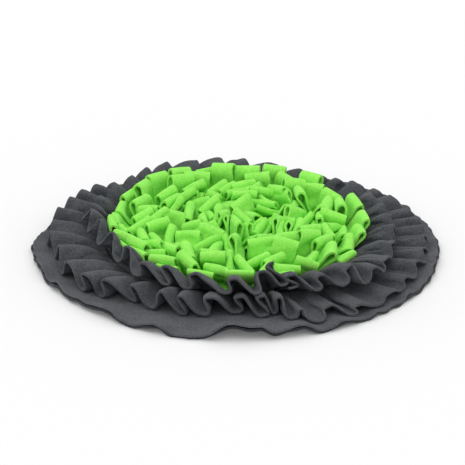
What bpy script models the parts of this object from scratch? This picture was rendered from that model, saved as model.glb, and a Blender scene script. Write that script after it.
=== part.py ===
"""Round fleece snuffle mat: two wavy base discs, two gathered ruffles and a pile of strip loops.

Metres, +Z up.  The origin is the middle of the underside; the mat's front is at -Y.
Angles run from +X towards +Y, so the front is at 270 degrees.
"""
from collections import namedtuple

import bpy
import numpy as np

MM = 0.001

# ---------------------------------------------------------------- driving dimensions (millimetres)
CLOTH = 2.5                # thickness of the fleece
GAP = 0.3                  # clearance between neighbouring pieces

BASE_RADIUS = 241.0
WAVE_START = 207.0         # radius where the rim of the base begins to lift
LOWER_SHARE = 0.8          # how much of a wave the lower disc follows
DRAW_IN = 0.25             # how far a wave draws the rim in, as a share of its lift
BASE_TOP = 2 * CLOTH + GAP

SEWN_BACK = 8.0            # how far behind the middle of the base the sewn rings lie
PILE_ROOT_RADIUS = 138.0   # the sewn-down backing of the loops
PILE_ROOT_Z = BASE_TOP + GAP

SEAM_HEIGHT = BASE_TOP + GAP + CLOTH / 2 + 0.15
UPPER_SEAM_RADIUS = 141.5
LOWER_SEAM_RADIUS = 153.0
END_SEAM = 5.0             # degrees that half of the last fold of an open strip takes up
FOLD_STEPS = 3             # straight pieces from one turn of a free edge to the next

LOOPS = 130
LOOP_HEIGHT = (26.0, 33.0)      # centre line of the strip above the backing
LOOP_HALF = (3.2, 5.4)          # half of a loop's width across the fold
STRIP_WIDTH = (23.0, 27.0)
ELBOW_ROOM = 1.6                # clearance that settling leaves between two loops
LEG_HALF = 2.4                  # half of the distance between a loop's two legs
ROOT_SPREAD = 131.0             # radius over which the loops are sewn down
FLARE = 0.44                    # how fast the pile widens with height
FLOP = 1.5                      # how far the tops lean towards the front
RIM_LEAN = 20.0                 # how far the outermost tops lean outwards
STRAY_LEAN = 9.0                # how far any top leans to some side
SETTLE_ROUNDS = 120
BACKING_SIDES = 40

# ---------------------------------------------------------------- tables: a row for each stop or fold
# Rim of the base: where each low or crest stands, how high it is lifted, and how far inside
# the full circle the scissors ran there.
Stop = namedtuple("Stop", "degrees lift trim")
RIM_STOPS = [Stop(*row) for row in (
    (181, 3, 0.5), (186, 1, 3), (190, 3, 4.5), (196.5, 6, 5), (205.5, 2, 5), (211.5, 6, 5),
    (218.3, 3, 5), (222, 6, 5), (226, 4.8, 5), (231.5, 9, 5), (241.5, 1, 3), (248.8, 7.5, 1),
    (254.5, 0, 0), (260, 0.5, 0), (269.7, 16.5, 0), (274.2, 12.5, 0), (276.4, 12.8, 0),
    (280.5, 5.5, 0), (287.3, 10, 0), (293.5, 0.5, 0), (300.5, 5, 0), (306.5, 0, 0),
    (310.2, 2.4, 0), (313.6, 0, 0), (317, 1.2, 0), (321, 0, 0), (324.6, 1.5, 0), (331, 0, 0),
    (338, 1.5, 0), (345.5, 3.5, 2), (352, 2, 1), (359, 3, 0.5), (366, 1, 1), (372, 3, 2),
    (379, 1, 3), (385, 3, 4), (391, 0.8, 4.5), (397, 2, 5), (404, 0.5, 6), (411, 1.5, 7),
    (418, 0.3, 8), (424, 1.5, 8.5), (431, 0.3, 9), (438, 1.2, 9), (446, 0.3, 9), (452, 1.2, 9),
    (459, 0.3, 9), (466, 1.2, 9), (474, 0.3, 9), (480, 1.2, 9), (487, 0.3, 8.5), (494, 1.2, 8),
    (502, 0.3, 8), (509, 1.2, 7.5), (518, 0.3, 7), (525, 1.2, 5), (532, 0.5, 3), (536, 2, 1.5))]

# Free edge of a ruffle: each fold's low turn and the top turn that follows it, each with its
# angle, how far out it lies and its height.  Then the lengths of the tangents, which run round
# the mat: into the low turn, on the wall between the two turns, and out of the top turn.
Fold = namedtuple("Fold", "low_deg low_reach low top_deg top_reach top sweep turn drop")
LOWER_FOLDS = [Fold(*row) for row in (
    (181.8, 222, 8, 185.2, 216, 27, 24, 34, 24), (191.4, 214, 8, 196.2, 210, 28, 26, 38, 28),
    (203.2, 215, 8, 209.2, 215, 28, 32, 44, 34), (217.9, 216, 8, 219.4, 215, 28, 36, 40, 20),
    (224.7, 210, 8, 226.0, 205, 28, 34, 42, 15), (234.5, 196, 8, 235.7, 198, 28, 30, 50, 10),
    (242.6, 198, 8, 246.6, 199, 29, 41, 38, 15), (253.0, 201, 8, 253.2, 200, 30, 30, 52, 15),
    (259.6, 197, 8, 262.4, 195, 29, 35, 64, 20), (270.3, 188, 8, 272.3, 187, 30, 30, 67, 10),
    (278.9, 196, 8, 279.9, 185, 30, 28, 84, 14), (282.5, 194, 8, 284.0, 194, 29, 14, 26, 20),
    (287.3, 214, 8, 290.3, 213, 16, 40, 30, 10), (292.3, 227, 8, 297.2, 220, 20, 40, 75, 15),
    (303.0, 235, 8, 305.5, 230, 17, 30, 50, 30), (311.7, 235, 8, 318.4, 230, 16, 30, 50, 20),
    (324.1, 229, 8, 328.9, 223, 17, 20, 46, 20), (333.3, 227, 8, 338.7, 221, 18, 20, 34, 16),
    (343.8, 227, 8, 348.9, 222, 17, 18, 18, 18), (353.0, 227, 8, 357.1, 222, 18, 18, 18, 18),
    (360.8, 227, 8, 364.6, 222, 18, 18, 18, 18), (367.9, 226, 8, 371.3, 221, 19, 20, 20, 20),
    (374.6, 225, 8, 377.8, 219, 20, 22, 22, 22), (383.0, 223, 8, 388.2, 217, 22, 24, 26, 24),
    (392.0, 221, 8, 395.9, 215, 22, 26, 28, 26), (400.0, 218, 8, 404.0, 212, 20, 26, 28, 26),
    (408.1, 216, 8, 412.1, 211, 18, 26, 30, 26), (416.4, 216, 8, 420.6, 211, 17, 26, 30, 26),
    (425.0, 217, 8, 429.4, 213, 16, 26, 30, 26), (434.0, 219, 8, 438.6, 214, 16, 26, 30, 26),
    (442.9, 219, 8, 447.3, 214, 16, 26, 30, 26), (451.9, 219, 8, 456.5, 215, 16, 26, 30, 26),
    (460.9, 221, 8, 465.3, 218, 16, 26, 30, 26), (469.3, 221, 8, 473.4, 215, 17, 26, 30, 26),
    (477.5, 217, 8, 481.7, 209, 18, 26, 30, 26), (485.7, 213, 8, 489.7, 206, 22, 26, 30, 26),
    (493.4, 212, 8, 497.2, 208, 25, 24, 30, 24), (500.5, 216, 8, 503.8, 214, 26, 24, 30, 24),
    (507.0, 220, 8, 510.3, 217, 27, 24, 30, 24), (513.8, 223, 8, 517.3, 218, 27, 24, 30, 24),
    (521.8, 224, 8, 526.3, 220, 27, 24, 32, 24), (530.2, 224, 8, 534.1, 219, 25, 24, 32, 24))]
UPPER_FOLDS = [Fold(*row) for row in (
    (289.3, 171, 24, 292.2, 171, 42, 50, 110, 14), (297.6, 195, 28, 299.8, 188, 43, 25, 50, 20),
    (306.5, 199, 28, 312.0, 190, 43, 25, 72, 20), (313.4, 211, 28, 317.7, 210, 41, 25, 34, 20),
    (323.3, 206, 28, 324.7, 204, 38, 20, 26, 20), (336.2, 194, 27, 339.7, 190, 37, 18, 26, 18),
    (348.7, 189, 27, 352.6, 185, 37, 18, 22, 18), (358.2, 189, 27, 363.9, 183, 37, 20, 22, 20),
    (368.3, 188, 27, 372.7, 182, 38, 22, 24, 22), (378.8, 187, 27, 384.8, 182, 37, 22, 26, 22),
    (391.7, 189, 26, 398.6, 187, 36, 24, 30, 24), (402.1, 188, 25, 405.6, 179, 34, 24, 28, 24),
    (409.8, 183, 25, 414.1, 178, 34, 24, 28, 24), (419.1, 184, 25, 424.1, 180, 34, 26, 32, 26),
    (429.7, 187, 25, 435.3, 184, 35, 26, 32, 26), (441.1, 193, 25, 446.8, 193, 36, 26, 32, 26),
    (451.4, 200, 25, 456.1, 198, 37, 26, 32, 26), (461.2, 202, 25, 466.3, 196, 37, 26, 32, 26),
    (471.4, 200, 25, 476.6, 195, 38, 26, 32, 26), (481.4, 196, 25, 486.2, 188, 39, 26, 30, 26),
    (490.7, 190, 25, 495.2, 181, 40, 24, 30, 24), (501.3, 182, 26, 507.4, 173, 41, 24, 30, 24),
    (514.0, 179, 26, 520.6, 175, 42, 24, 30, 24), (524.8, 180, 26, 529.0, 175, 43, 20, 26, 18),
    (531.8, 183, 27, 536.8, 168, 43, 20, 26, 18), (543.0, 172, 27, 546.0, 157, 43, 20, 34, 24),
    (556.0, 159, 27, 562.1, 150, 43, 20, 36, 22), (574.7, 158, 27, 578.0, 151, 43, 20, 36, 22),
    (590.8, 171, 28, 593.4, 168, 43, 20, 34, 20), (603.5, 176, 28, 603.2, 166, 43, 20, 60, 20),
    (612.0, 177, 28, 615.2, 167, 43, 20, 56, 22), (626.7, 181, 28, 629.7, 176, 43, 24, 50, 22),
    (637.0, 187, 28, 640.6, 161, 43, 20, 46, 30), (647.3, 175, 33, 646.3, 157, 44, 24, 75, 5))]

# How a ruffle rises from its seam: share of its width, then the shares of the full height
# that its low and top turns have reached there, and of their full swing round the mat.
Rise = namedtuple("Rise", "share low top spread")
LOWER_RISE = [Rise(0.0, 0.0, 0.0, 0.0), Rise(0.4, 0.4, 0.66, 0.8), Rise(1.0, 1.0, 1.0, 1.0)]
UPPER_RISE = [Rise(0.0, 0.0, 0.0, 0.0), Rise(0.45, 0.66, 0.68, 0.75), Rise(1.0, 1.0, 1.0, 1.0)]


# ---------------------------------------------------------------- small helpers
def make_material(name, colour, roughness):
    """Principled BSDF with one plain colour, as of fleece."""
    material = bpy.data.materials.new(name)
    material.use_nodes = True
    shader = material.node_tree.nodes["Principled BSDF"]
    shader.inputs["Base Color"].default_value = (*colour, 1.0)
    shader.inputs["Roughness"].default_value = roughness
    shader.inputs["Metallic"].default_value = 0.0
    material.diffuse_color = (*colour, 1.0)
    return material


def add_object(name, points, faces, material):
    """Named mesh object from an array of points in millimetres."""
    mesh = bpy.data.meshes.new(name)
    mesh.from_pydata((np.asarray(points) * MM).tolist(), [], [list(map(int, face)) for face in faces])
    mesh.materials.append(material)
    mesh.shade_smooth()
    mesh.update()
    piece = bpy.data.objects.new(name, mesh)
    bpy.context.scene.collection.objects.link(piece)
    return piece


def grid_faces(rows, columns, closed):
    """Quads between the rows of a grid of points, numbered row by row."""
    last = columns if closed else columns - 1
    faces = []
    for row in range(rows - 1):
        for column in range(last):
            after = (column + 1) % columns
            lower, upper = row * columns, (row + 1) * columns
            faces.append((lower + column, upper + column, upper + after, lower + after))
    return faces


def thicken(piece, offset):
    """Give a sheet the thickness of the fleece with a Solidify modifier."""
    solid = piece.modifiers.new("fleece", "SOLIDIFY")
    solid.thickness = CLOTH * MM
    solid.offset = offset
    return solid


# ---------------------------------------------------------------- base discs
def along_rim(angle, column):
    """Lift or trim of the rim at an angle, by half cosines from each stop to the next."""
    table = np.array(RIM_STOPS, float)
    table = np.vstack([table, table[0] + [360, 0, 0]])
    stops, values = table[:, 0], table[:, column]
    turned = (np.degrees(angle) - stops[0]) % 360 + stops[0]
    index = np.clip(np.searchsorted(stops, turned, side="right") - 1, 0, len(stops) - 2)
    share = (turned - stops[index]) / (stops[index + 1] - stops[index])
    ease = (1 - np.cos(np.pi * share)) / 2
    return values[index] + (values[index + 1] - values[index]) * ease


def base_lift(angle, radius):
    """Lift of the upper disc: none inside WAVE_START, the full wave at the rim."""
    ramp = np.clip((radius - WAVE_START) / (BASE_RADIUS - WAVE_START), 0, None)
    return along_rim(angle, 1) * ramp


def base_disc(name, top, share, material):
    """Flat disc whose rim follows the stops, with a column just before and after each."""
    stops = np.array(RIM_STOPS, float)[:, 0]
    span = np.append(stops[1:], stops[0] + 360) - stops
    angle = np.radians(np.stack([stops + 0.2 * span, stops + 0.8 * span], 1).ravel())
    points = []
    for radius in (WAVE_START, BASE_RADIUS):
        lift = base_lift(angle, radius) * share
        trim = along_rim(angle, 2) * (radius == BASE_RADIUS)
        drawn_in = radius - DRAW_IN * lift - trim
        points.append(np.stack([drawn_in * np.cos(angle), drawn_in * np.sin(angle), top + lift], 1))
    faces = grid_faces(2, len(angle), closed=True)
    faces.append(tuple(range(len(angle))))
    piece = add_object(name, np.concatenate(points), faces, material)
    thicken(piece, offset=-1.0)
    return piece


# ---------------------------------------------------------------- ruffles
Edge = namedtuple("Edge", "angle seam reach rise low top")


def free_edge(folds, closed):
    """Meander through the turns: a cubic Hermite curve whose tangent at each turn runs round
    the mat, so that the cloth rolls over at the top and rolls under at the bottom.  Gives for
    every column its angle, its angle at the seam, its reach, its rise (0 at a low turn, 1 at a
    top), and the heights of the low and of the top turns near it."""
    table = np.array(folds, float)
    if closed:
        table = np.vstack([table, table[0] + [360, 0, 0, 360, 0, 0, 0, 0, 0]])
    following = np.append(table[1:, 0], table[-1, 0] + 2 * END_SEAM)
    angle = table[:, [0, 3]].ravel()
    seam = np.stack([table[:, 0], (table[:, 0] + following) / 2], axis=1).ravel()
    reach = table[:, [1, 4]].ravel()
    leaving = table[:, [7, 8]].ravel() / reach
    arriving = table[:, [6, 7]].ravel() / reach
    rise = np.tile([0.0, 1.0], len(table))
    if closed:
        angle, seam, reach, leaving, arriving, rise = (
            row[:-1] for row in (angle, seam, reach, leaving, arriving, rise))
    angle, seam = np.radians(angle), np.radians(seam)
    share = np.arange(FOLD_STEPS) / FOLD_STEPS
    ease = share ** 2 * (3 - 2 * share)

    def run(values, blend):
        rows = values[:-1, None] + np.diff(values)[:, None] * blend
        return np.append(rows.ravel(), [] if closed else values[-1])

    swing = (leaving[:-1, None] * (share * (1 - share) ** 2)
             + arriving[1:, None] * (share ** 2 * (share - 1))).ravel()
    meander = run(angle, ease) + np.append(swing, [] if closed else 0.0)
    place = run(np.arange(len(angle), dtype=float), share)
    low = np.interp(place, np.arange(len(table)) * 2, table[:, 2])
    top = np.interp(place, np.arange(len(table)) * 2 + 1, table[:, 5])
    return Edge(meander, run(seam, share), run(reach, ease), run(rise, ease), low, top)


def ruffle(name, folds, rises, seam_radius, closed, material):
    """Sheet between the sewn ring and the meandering free edge, thickened to cloth."""
    edge = free_edge(folds, closed)
    sewn = seam_radius + SEWN_BACK * np.sin(edge.seam)
    points = []
    for row in rises:
        around = edge.seam + (edge.angle - edge.seam) * row.spread
        radius = sewn + (edge.reach - sewn) * row.share
        height = SEAM_HEIGHT + row.low * (edge.low - SEAM_HEIGHT) * (1 - edge.rise)
        height = height + row.top * (edge.top - SEAM_HEIGHT) * edge.rise + base_lift(around, radius)
        points.append(np.stack([radius * np.cos(around), radius * np.sin(around), height], axis=1))
    faces = grid_faces(len(rises), len(edge.angle), closed)
    piece = add_object(name, np.concatenate(points), faces, material)
    thicken(piece, offset=0.0)
    return piece


# ---------------------------------------------------------------- loop pile
Loops = namedtuple("Loops", "root top twist wring tilt height half width")


def golden_spread(count, radius):
    """Even scatter over a disc: point k at the square root of k, turned by the golden angle."""
    index = np.arange(count) + 0.5
    turn = index * np.pi * (3 - np.sqrt(5))
    return (radius * np.sqrt(index / count))[:, None] * np.stack([np.cos(turn), np.sin(turn)], 1)


def sewn_loops(random):
    """Loops as they are sewn: those at the rim face outwards, the others face anywhere."""
    root = golden_spread(LOOPS, ROOT_SPREAD)
    outward = np.arctan2(root[:, 1], root[:, 0])
    rim = np.clip(np.hypot(*root.T) / ROOT_SPREAD - 0.6, 0, None) / 0.4
    twist = outward + np.pi / 2 + (1 - 0.8 * rim) * random.uniform(-1.5, 1.5, LOOPS)
    lean = np.stack([np.cos(outward), np.sin(outward)], 1) * (RIM_LEAN * rim)[:, None]
    stray = random.uniform(-STRAY_LEAN, STRAY_LEAN, (LOOPS, 2)) * (1 - 0.5 * rim)[:, None]
    top = root + lean + stray - (0, FLOP)
    return Loops(root, top, twist, random.uniform(-0.35, 0.35, LOOPS),
                 random.uniform(-0.11, 0.11, LOOPS), random.uniform(*LOOP_HEIGHT, LOOPS),
                 random.uniform(*LOOP_HALF, LOOPS), random.uniform(*STRIP_WIDTH, LOOPS))


def settle(loops):
    """Push apart loops that touch.  Each is felt as balls at three heights and at three
    places across its strip, and a ball's push moves the root, moves the top and turns it."""
    root, top, twist, wring, tilt, height, half, width = loops
    levels = np.array([0.15, 0.5, 0.92])
    across = np.array([-1.0, 0.0, 1.0])
    owner = np.repeat(np.arange(LOOPS), len(across))
    reach = np.repeat(half + CLOTH / 2 + ELBOW_ROOM, len(across))
    arm = (width / 2 - half)[:, None] * across
    for _ in range(SETTLE_ROUNDS):
        push = np.zeros((LOOPS, len(levels), len(across), 2))
        torque = np.zeros(LOOPS)
        for level, share in enumerate(levels):
            facing = twist + wring * share
            axis = np.stack([np.cos(facing), np.sin(facing)], 1)
            spot = (root + (top - root) * share)[:, None] + arm[..., None] * axis[:, None]
            spot = spot.reshape(-1, 2)
            apart = spot[:, None] - spot[None]
            distance = np.hypot(apart[..., 0], apart[..., 1]) + 1e-6
            deep = np.clip(reach[:, None] + reach[None] - distance, 0, None)
            deep[owner[:, None] == owner[None]] = 0
            shove = (apart * (deep / distance)[..., None]).sum(1) * 0.35
            from_middle = spot + (0, FLOP * share)
            out = np.hypot(*from_middle.T)
            limit = ROOT_SPREAD + 4 + FLARE * share * LOOP_HEIGHT[1]
            shove -= from_middle * (np.clip(out + reach - limit, 0, None) / out * 0.5)[:, None]
            shove = shove.reshape(LOOPS, len(across), 2)
            push[:, level] = shove
            normal = np.stack([-axis[:, 1], axis[:, 0]], 1)
            torque += ((shove * normal[:, None]).sum(2) * across).sum(1)
        mean = push.mean(2)
        root = root + (mean * (1 - levels)[:, None]).sum(1) * 0.6
        top = top + (mean * levels[:, None]).sum(1) * 0.6
        twist = twist + torque / (width * 2.5)
    return Loops(root, top, twist, wring, tilt, height, half, width)


def loop_points(root, top, twist, wring, tilt, height, half, width):
    """Corners of one loop: an outer and an inner outline, at both edges of the strip.
    The outline leans with the stem, and the strip wrings and tilts a little on the way up."""
    skin = CLOTH / 2
    outer = np.array([(-LEG_HALF, -1.2), (LEG_HALF, -1.2), (half + skin, height * 0.62),
                      (half * 0.6 + skin / 2, height + skin), (-half * 0.6 - skin / 2, height + skin),
                      (-half - skin, height * 0.62)])
    inner = np.array([(-0.4, height * 0.16), (0.4, height * 0.16), (half - skin, height * 0.62),
                      (half * 0.6 - skin / 2, height - skin), (-half * 0.6 + skin / 2, height - skin),
                      (-half + skin, height * 0.62)])
    base = np.array([root[0], root[1] + SEWN_BACK, PILE_ROOT_Z + CLOTH])
    stem = np.array([*(top - root) / height, 1.0])
    corners = []
    for outline in (outer, inner):
        share = outline[:, 1:] / height
        for side in (-1.0, 1.0):
            facing = twist + wring * share
            axis = np.hstack([np.cos(facing), np.sin(facing), 0 * share])
            across = np.hstack([-np.sin(facing), np.cos(facing), 0 * share])
            raised = 1 + side * tilt * np.clip(share, 0, None)
            corners.append(base + outline[:, :1] * across + outline[:, 1:] * raised * stem
                           + side * width / 2 * axis)
    return np.concatenate(corners)


def loop_faces(start):
    """Faces of one loop whose four outlines of six corners follow each other."""
    corners = 6
    outer_a, outer_b, inner_a, inner_b = (start + corners * ring for ring in range(4))
    faces = []
    for corner in range(corners):
        after = (corner + 1) % corners
        faces.append((outer_a + corner, outer_b + corner, outer_b + after, outer_a + after))
        faces.append((inner_a + after, inner_b + after, inner_b + corner, inner_a + corner))
        faces.append((outer_a + after, inner_a + after, inner_a + corner, outer_a + corner))
        faces.append((outer_b + corner, inner_b + corner, inner_b + after, outer_b + after))
    return faces


def loop_pile(material):
    """Loops fused by their roots to the sewn-down backing."""
    loops = settle(sewn_loops(np.random.default_rng(7)))
    points = []
    faces = []
    for values in zip(*loops):
        faces += loop_faces(24 * len(points))
        points.append(loop_points(*values))
    standing = add_object("loops", np.concatenate(points), faces, material)
    standing.hide_render = True
    standing.display_type = "WIRE"
    turn = np.linspace(0, 2 * np.pi, BACKING_SIDES, endpoint=False)
    rim = PILE_ROOT_RADIUS * np.stack([np.cos(turn), np.sin(turn)], 1) + (0, SEWN_BACK)
    rim = np.column_stack([rim, np.full(len(turn), PILE_ROOT_Z + CLOTH)])
    backing = add_object("loop_pile", rim, [tuple(range(len(turn)))], material)
    thicken(backing, offset=-1.0)
    fuse = backing.modifiers.new("roots", "BOOLEAN")
    fuse.operation = "UNION"
    fuse.object = standing
    fuse.use_self = True
    return backing


# ---------------------------------------------------------------- the mat
def centre_on_widest(widest):
    """Move every piece so that the widest one's box is centred on the origin."""
    bpy.context.view_layer.update()
    shape = widest.evaluated_get(bpy.context.evaluated_depsgraph_get())
    corners = np.array(shape.bound_box)
    middle = (corners.min(0) + corners.max(0)) / 2
    for piece in bpy.data.objects:
        piece.location.x -= middle[0]
        piece.location.y -= middle[1]


def build():
    for thing in list(bpy.data.objects):
        bpy.data.objects.remove(thing, do_unlink=True)
    grey = make_material("grey fleece", (0.075, 0.079, 0.087), 0.95)
    dark = make_material("grey fleece underside", (0.045, 0.048, 0.053), 0.95)
    green = make_material("green fleece", (0.22, 0.66, 0.08), 0.9)
    widest = base_disc("base_lower", CLOTH, LOWER_SHARE, dark)
    base_disc("base_upper", BASE_TOP, 1.0, grey)
    ruffle("ruffle_lower", LOWER_FOLDS, LOWER_RISE, LOWER_SEAM_RADIUS, True, grey)
    ruffle("ruffle_upper", UPPER_FOLDS, UPPER_RISE, UPPER_SEAM_RADIUS, False, grey)
    loop_pile(green)
    centre_on_widest(widest)


build()
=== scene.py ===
# %% [markdown]
# # A snuffle mat, sewn from fleece
# A snuffle mat hides dry food in a thicket of cloth, and a dog noses it out.  This one has two
# round base cloths, two gathered ruffles sewn round them, and a pile of folded strips inside.
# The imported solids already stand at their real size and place, so they serve as the frame:
# every cloth below is a finer version of one of them, in the same millimetres.  The front of
# the mat is -Y, and angles run round it from +X.

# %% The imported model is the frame
from collections import namedtuple

import bpy
import numpy as np
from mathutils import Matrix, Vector


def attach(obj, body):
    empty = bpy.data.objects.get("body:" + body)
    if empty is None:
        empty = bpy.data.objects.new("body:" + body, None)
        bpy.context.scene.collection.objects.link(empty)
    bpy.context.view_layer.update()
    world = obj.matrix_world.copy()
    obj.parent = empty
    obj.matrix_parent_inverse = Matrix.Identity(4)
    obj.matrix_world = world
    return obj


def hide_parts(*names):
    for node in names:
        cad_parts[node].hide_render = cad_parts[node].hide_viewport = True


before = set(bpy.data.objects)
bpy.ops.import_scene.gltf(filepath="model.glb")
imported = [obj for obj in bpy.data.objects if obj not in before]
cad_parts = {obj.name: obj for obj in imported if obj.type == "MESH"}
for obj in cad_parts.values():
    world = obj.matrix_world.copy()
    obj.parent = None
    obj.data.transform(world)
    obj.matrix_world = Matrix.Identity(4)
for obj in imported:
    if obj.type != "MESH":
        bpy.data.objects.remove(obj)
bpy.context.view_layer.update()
MM = 0.001

# %% [markdown]
# ## The camera
# The mat lies on a table and is seen from the front with a long lens, a little above it.  A
# long lens far away flattens perspective, as is usual in a studio for small goods.  The camera
# aims at a point just over the middle of the mat, so no lens shift is needed.

# %% Camera
LENS = 144.4
CAMERA_DISTANCE = 2.2
CAMERA_ELEVATION = np.radians(24.5)
RING_MIDDLE = Vector((0.0, 0.0035, 0.0))
AIM = RING_MIDDLE + Vector((-0.003, 0.0, 0.0201))

camera = bpy.data.objects.new("camera", bpy.data.cameras.new("camera"))
bpy.context.scene.collection.objects.link(camera)
camera.data.lens = LENS
camera.location = RING_MIDDLE + CAMERA_DISTANCE * Vector(
    (0, -np.cos(CAMERA_ELEVATION), np.sin(CAMERA_ELEVATION)))
camera.rotation_euler = (AIM - camera.location).to_track_quat("-Z", "Y").to_euler()
bpy.context.scene.camera = camera
print("camera at", [round(value, 3) for value in camera.location], "m")

# %% [markdown]
# ## Shader arithmetic
# A shader is a graph of nodes, which is tedious to write out.  This small class wraps one
# socket, so that sums and products of sockets read as ordinary expressions, and each operator
# adds one Math node.  Every other node comes from its one method, `node`.

# %% Wire: a socket that takes part in expressions
class Wire:
    """One output socket of a shader tree."""

    def __init__(self, tree, socket=None):
        self.tree = tree
        self.socket = socket

    def node(self, kind, settings=None, inputs=None, output=0):
        """Add a node of a type, set it up, fill its sockets, and return one of its outputs."""
        made = self.tree.nodes.new(kind)
        for key, value in (settings or {}).items():
            setattr(made, key, value)
        for key, value in (inputs or {}).items():
            if isinstance(value, Wire):
                self.tree.links.new(value.socket, made.inputs[key])
            else:
                made.inputs[key].default_value = value
        return Wire(self.tree, made.outputs[output])

    def math(self, operation, first, second):
        return self.node("ShaderNodeMath", {"operation": operation}, {0: first, 1: second})

    def __add__(self, other):
        return self.math("ADD", self, other)

    def __sub__(self, other):
        return self.math("SUBTRACT", self, other)

    def __rsub__(self, other):
        return self.math("SUBTRACT", other, self)

    def __mul__(self, other):
        return self.math("MULTIPLY", self, other)

    __radd__ = __add__
    __rmul__ = __mul__


# %% [markdown]
# ## Fleece
# Fleece is a knit that is brushed until its surface is a mat of loose fibres.  It has no
# weave to see: only tufts of a few millimetres, a finer grain of fibres, and soft clouds where
# the pile was stroked one way or the other.  Single hairs would cost far more than they show
# at this distance, so three noises of those sizes stand for them in the colour, and the two
# finer ones in a shallow bump as well.  Fleece has no highlight, but glows a little where it
# is seen at a slant, which is what the sheen is for.  Cut edges get a painted highlight: their
# colour is made lighter for the fuzzy rim that catches the light, and an attribute stored on
# the mesh, `cut_edge`, tells where they are.

# %% Fleece material
TUFT = 2.4
FIBRE = 1.1
CLOUD = 22.0
TUFT_SHARE = 0.9
FIBRE_SHARE = 0.6
CLOUD_SHARE = 0.4
MIDDLE_GRAIN = (TUFT_SHARE + FIBRE_SHARE + CLOUD_SHARE) / 2
NAP_DEPTH = 0.8
# Painted highlight: how much lighter the colour is made at a cut edge, where the fuzzy rim catches
# light.
PAINTED_EDGE_HIGHLIGHT = 0.1


def fleece(name, deep, light, sheen, mottle):
    """Brushed cloth whose colour runs from deep to light: halfway, plus mottle times what the
    weighted sum of tufts, fibres and clouds is above its middle, plus a painted highlight at a
    cut."""
    material = bpy.data.materials.new(name)
    material.use_nodes = True
    tree = material.node_tree
    shader = tree.nodes["Principled BSDF"]
    pen = Wire(tree)
    place = pen.node("ShaderNodeTexCoord", output="Object")

    def noise(size, detail):
        return pen.node("ShaderNodeTexNoise", {}, {
            "Vector": place, "Scale": 1 / (size * MM), "Detail": detail, "Roughness": 0.6})

    tufts = noise(TUFT, 2.0)
    fibres = noise(FIBRE, 1.0)
    clouds = noise(CLOUD, 1.0)
    cut_edge = pen.node("ShaderNodeAttribute", {"attribute_name": "cut_edge"}, output="Fac")
    grain = tufts * TUFT_SHARE + fibres * FIBRE_SHARE + clouds * CLOUD_SHARE
    # A cut edge gets a painted highlight: its colour moves towards the light end.
    share = (grain - MIDDLE_GRAIN) * mottle + 0.5 + cut_edge * PAINTED_EDGE_HIGHLIGHT
    colour = pen.node("ShaderNodeMix", {"data_type": "RGBA"},
                      {0: share, 6: (*deep, 1.0), 7: (*light, 1.0)}, output=2)
    bump = pen.node("ShaderNodeBump", {}, {
        "Strength": 0.8, "Distance": NAP_DEPTH * MM, "Height": tufts * 0.5 + fibres * 0.5})
    tree.links.new(colour.socket, shader.inputs["Base Color"])
    tree.links.new(bump.socket, shader.inputs["Normal"])
    shader.inputs["Roughness"].default_value = 0.95
    shader.inputs["Specular IOR Level"].default_value = 0.15
    shader.inputs["Sheen Weight"].default_value = sheen
    shader.inputs["Sheen Roughness"].default_value = 0.6
    return material


grey_fleece = fleece("grey_fleece", (0.050, 0.053, 0.060), (0.081, 0.085, 0.094), 0.08, 4.5)
# The upper base disc is the same grey fleece as the ruffles. Its lighter colour is painted light,
# making up for the shade that the ruffles cast on it.
painted_light_base_fleece = fleece("painted_light_base_fleece", (0.060, 0.063, 0.071), (0.096, 0.101, 0.110), 0.08, 4.5)
# The lower base disc is the same grey fleece. Its darker colour is painted shade, for the shade
# that the upper disc casts on it.
painted_shade_fleece = fleece("painted_shade_fleece", (0.020, 0.021, 0.024), (0.038, 0.040, 0.045), 0.10, 1.2)
green_fleece = fleece("green_fleece", (0.230, 0.735, 0.078), (0.345, 0.870, 0.132), 0.06, 2.6)
print("fleeces:", grey_fleece.name, painted_light_base_fleece.name, painted_shade_fleece.name, green_fleece.name)

# %% [markdown]
# ## From grids of points to cloth
# Cloth is a surface of even thickness, so it is enough to say where its middle runs.  Every
# cloth here is one or more grids of points, worked out with numpy as whole arrays, in which
# four neighbouring points make a face.  A Solidify modifier then gives the sheet the thickness
# of fleece and closes its cut edges.  Blender's cloth simulation could drape the pieces too,
# but then no fold would lie where it should, so the main folds come from tables.

# %% Grids, faces and thickness
CLOTH = 2.6


def grid_faces(rows, columns, closed):
    """Quads of a rows by columns grid numbered row by row; closed joins last to first column."""
    index = np.arange(rows * columns).reshape(rows, columns)
    if closed:
        index = np.hstack([index, index[:, :1]])
    return np.stack([index[:-1, :-1], index[1:, :-1], index[1:, 1:], index[:-1, 1:]],
                    axis=-1).reshape(-1, 4)


def disc_faces(rings, columns):
    """Faces of closed rings round one last point: quads, and a fan from it to the first ring."""
    first = np.arange(columns)
    fan = np.stack([np.full(columns, rings * columns), first, np.roll(first, -1)], axis=1)
    return grid_faces(rings, columns, closed=True).tolist() + fan.tolist()


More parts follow.
